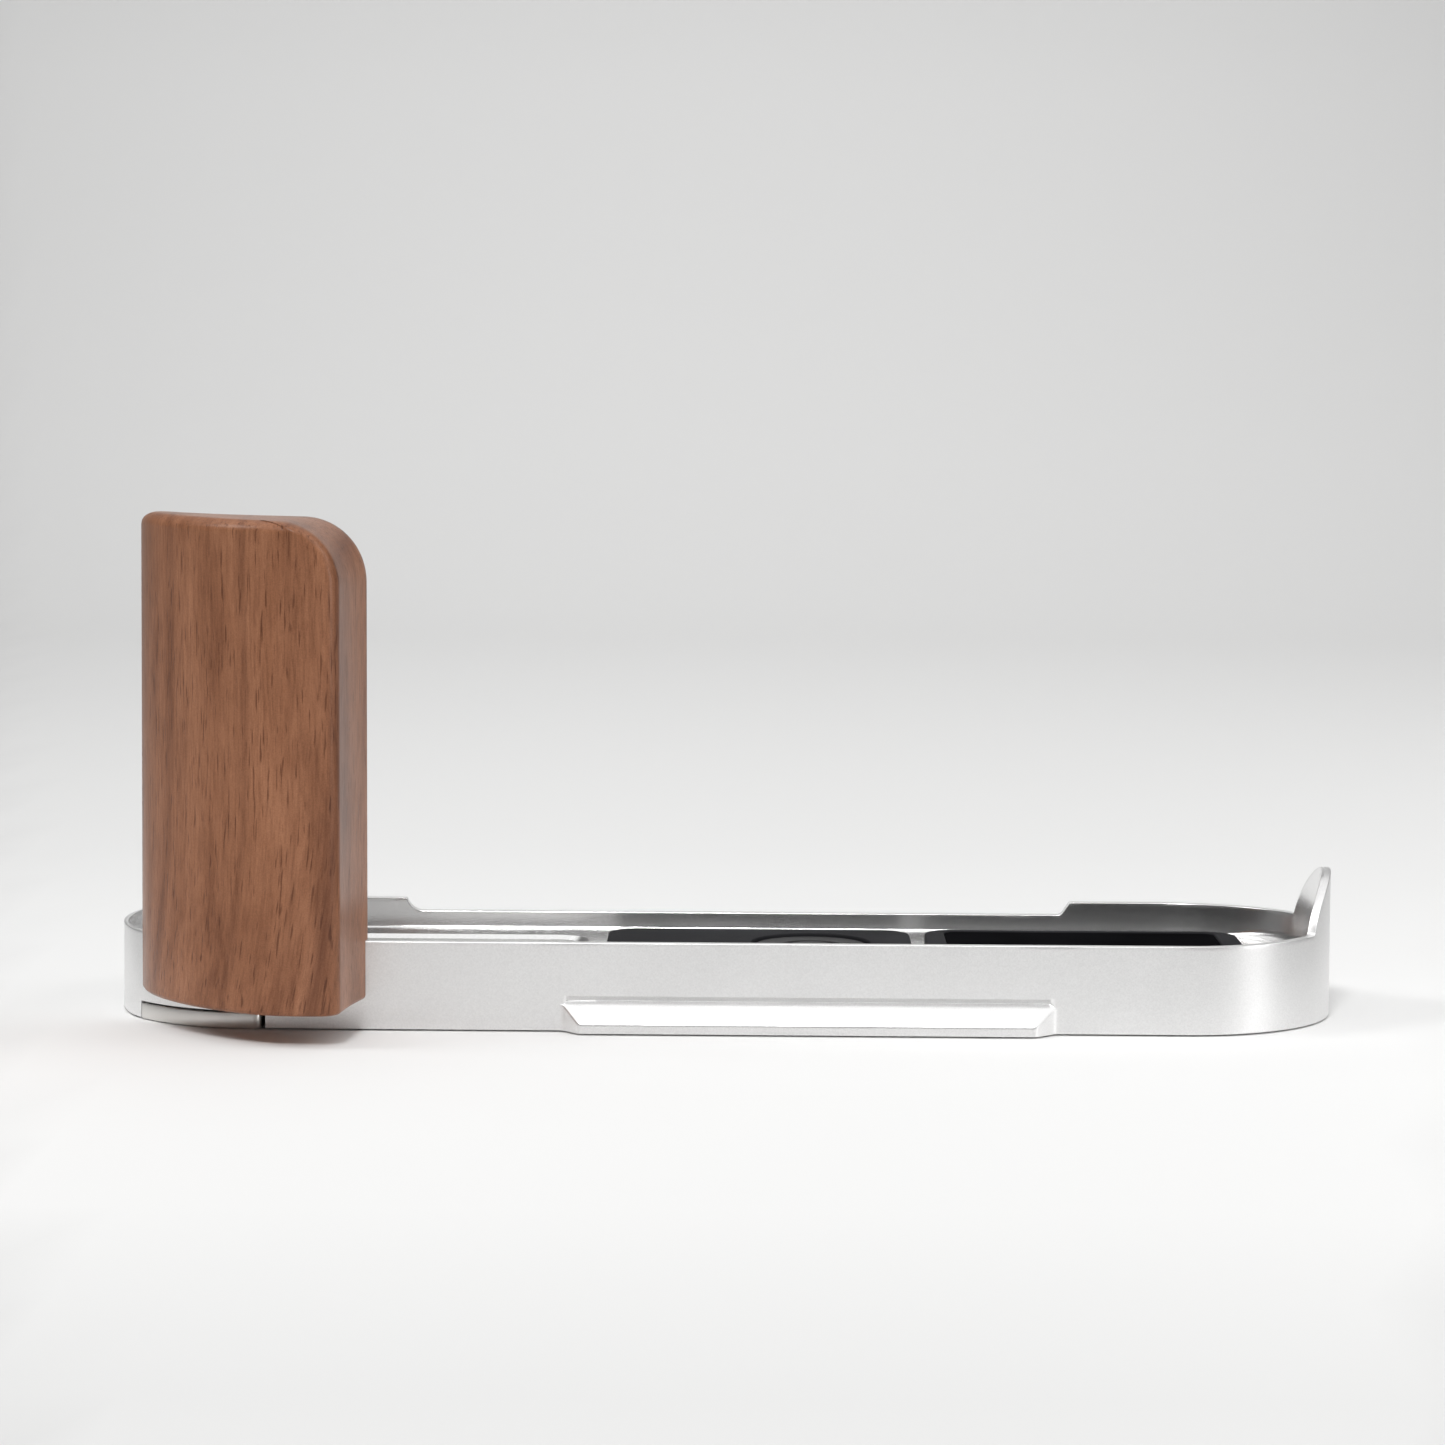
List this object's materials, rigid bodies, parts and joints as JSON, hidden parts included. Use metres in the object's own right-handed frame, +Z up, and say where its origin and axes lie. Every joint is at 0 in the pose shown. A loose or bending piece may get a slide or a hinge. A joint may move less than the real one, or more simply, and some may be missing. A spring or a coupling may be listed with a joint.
{
  "type": "camera hand grip",
  "caption": "Camera hand grip with a tray-shaped aluminium base plate, dovetail lips, rubber pads, a battery opening and a walnut grip.",
  "frame": {"origin": "on the underside of the base plate, half way along it and half way across it", "axes": "+X along the plate away from the grip, -Y is the side the grip stands on, +Z up out of the tray"},
  "size_m": [0.132, 0.0475, 0.0542],
  "materials": {
    "anodised_aluminium": "bead-blasted and clear anodised, silver",
    "bracket_aluminium": "blasted, satin",
    "polished_steel": "polished stainless steel",
    "black_steel": "black oxide",
    "brass": "turned",
    "magnet_nickel": "nickel plated",
    "pad_rubber": "matte dark grey",
    "insert_foam": "matte black, soft",
    "black_nylon": "matte",
    "walnut": "oiled walnut, satin"
  },
  "bodies": {
    "plate": {"base_plate": "anodised_aluminium", "grip_bracket": "bracket_aluminium", "foot_screw_1": "polished_steel", "foot_screw_2": "polished_steel", "foot_screw_3": "polished_steel", "upright_liner": "pad_rubber", "wood_grip": "walnut", "grip_screw_1": "polished_steel", "grip_screw_2": "polished_steel", "grip_screw_3": "polished_steel", "grip_insert_1": "brass", "grip_insert_2": "brass", "grip_insert_3": "brass", "centre_pad": "pad_rubber", "side_pad": "pad_rubber", "side_pad_insert": "insert_foam", "end_pad": "pad_rubber", "screw_retainer": "black_nylon", "tripod_bush": "polished_steel", "lug_pivot_screw": "polished_steel", "lug_wave_washer": "polished_steel", "lug_magnet": "magnet_nickel"},
    "lug": {"strap_lug": "polished_steel"},
    "screw_carrier": {"screw_washer": "black_nylon"},
    "screw": {"camera_screw": "black_steel"}
  },
  "joints": [
    {"name": "lug_swing", "type": "hinge", "parent": "plate", "child": "lug", "pos_m": [-0.0511, -0.01404, 0.0001], "axis": [0, 0, 1], "range_deg": [0, 105]},
    {"name": "screw_lift", "type": "slide", "parent": "plate", "child": "screw_carrier", "axis": [0, 0, 1], "range_m": [0, 0.0035]},
    {"name": "screw_turn", "type": "hinge", "parent": "screw_carrier", "child": "screw", "pos_m": [0.0095, 0, 0.0001], "axis": [0, 0, 1], "continuous": true}
  ]
}
